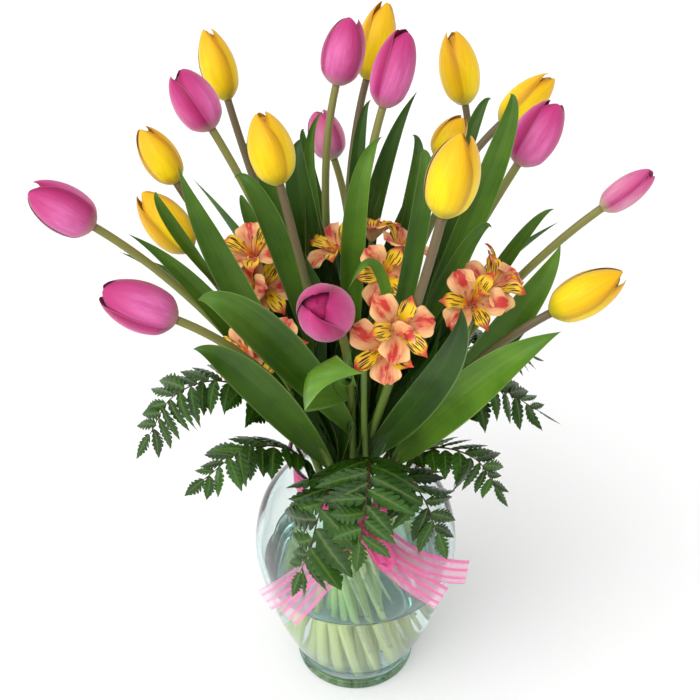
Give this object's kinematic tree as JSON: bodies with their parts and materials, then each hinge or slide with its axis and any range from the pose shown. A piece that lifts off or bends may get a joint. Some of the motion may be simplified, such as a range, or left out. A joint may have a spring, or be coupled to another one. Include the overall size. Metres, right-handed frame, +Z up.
{
  "type": "tulips in a vase",
  "caption": "Cut yellow and pink tulips with peach alstroemeria and fern fronds, standing in water in a clear glass vase with a sheer ribbon tied round its neck.",
  "frame": {"origin": "middle of the vase's flat underside, on the surface it stands on", "axes": "+Z up; -Y towards the front, where the ribbon's knot is; +X to the right seen from the front"},
  "size_m": [0.4451, 0.3815, 0.5752],
  "materials": {
    "clear_glass": "clear, smooth, faint teal in the thick foot",
    "water": "clear still water",
    "tulip_green": "satin leaf with fine lengthwise veins",
    "yellow_petal": "satin petal with fine lengthwise streaks",
    "pink_petal": "satin petal, paler at its base and margins",
    "spray_green": "smooth green stalk",
    "peach_petal": "soft petal, peach and coral, with maroon dashes on yellow",
    "fern_green": "glossy dark leathery leaflets",
    "pink_organza": "sheer organza with satin stripes"
  },
  "bodies": {
    "root": {"tulip_yellow_1_stem": "tulip_green", "tulip_yellow_1_bloom": "yellow_petal", "tulip_yellow_2_stem": "tulip_green", "tulip_yellow_2_bloom": "yellow_petal", "tulip_yellow_3_stem": "tulip_green", "tulip_yellow_3_bloom": "yellow_petal", "tulip_yellow_4_stem": "tulip_green", "tulip_yellow_4_bloom": "yellow_petal", "tulip_yellow_5_stem": "tulip_green", "tulip_yellow_5_bloom": "yellow_petal", "tulip_yellow_6_stem": "tulip_green", "tulip_yellow_6_bloom": "yellow_petal", "tulip_yellow_7_stem": "tulip_green", "tulip_yellow_7_bloom": "yellow_petal", "tulip_yellow_8_stem": "tulip_green", "tulip_yellow_8_bloom": "yellow_petal", "tulip_yellow_9_stem": "tulip_green", "tulip_yellow_9_bloom": "yellow_petal", "tulip_yellow_10_stem": "tulip_green", "tulip_yellow_10_bloom": "yellow_petal", "tulip_pink_1_stem": "tulip_green", "tulip_pink_1_bloom": "pink_petal", "tulip_pink_2_stem": "tulip_green", "tulip_pink_2_bloom": "pink_petal", "tulip_pink_3_stem": "tulip_green", "tulip_pink_3_bloom": "pink_petal", "tulip_pink_4_stem": "tulip_green", "tulip_pink_4_bloom": "pink_petal", "tulip_pink_5_stem": "tulip_green", "tulip_pink_5_bloom": "pink_petal", "tulip_pink_6_stem": "tulip_green", "tulip_pink_6_bloom": "pink_petal", "tulip_pink_7_stem": "tulip_green", "tulip_pink_7_bloom": "pink_petal", "tulip_pink_8_stem": "tulip_green", "tulip_pink_8_bloom": "pink_petal", "tulip_pink_9_stem": "tulip_green", "tulip_pink_9_bloom": "pink_petal", "alstroemeria_front_stem": "spray_green", "alstroemeria_front_blooms": "peach_petal", "alstroemeria_right_stem": "spray_green", "alstroemeria_right_blooms": "peach_petal", "alstroemeria_back_stem": "spray_green", "alstroemeria_back_blooms": "peach_petal", "alstroemeria_left_stem": "spray_green", "alstroemeria_left_blooms": "peach_petal", "alstroemeria_low_left_stem": "spray_green", "alstroemeria_low_left_blooms": "peach_petal", "fern_left": "fern_green", "fern_left_low": "fern_green", "fern_front_left": "fern_green", "fern_front": "fern_green", "fern_front_right": "fern_green", "fern_right_low": "fern_green", "fern_right": "fern_green", "fern_right_back": "fern_green", "fern_back": "fern_green", "vase": "clear_glass", "water": "water", "ribbon": "pink_organza"}
  },
  "joints": []
}
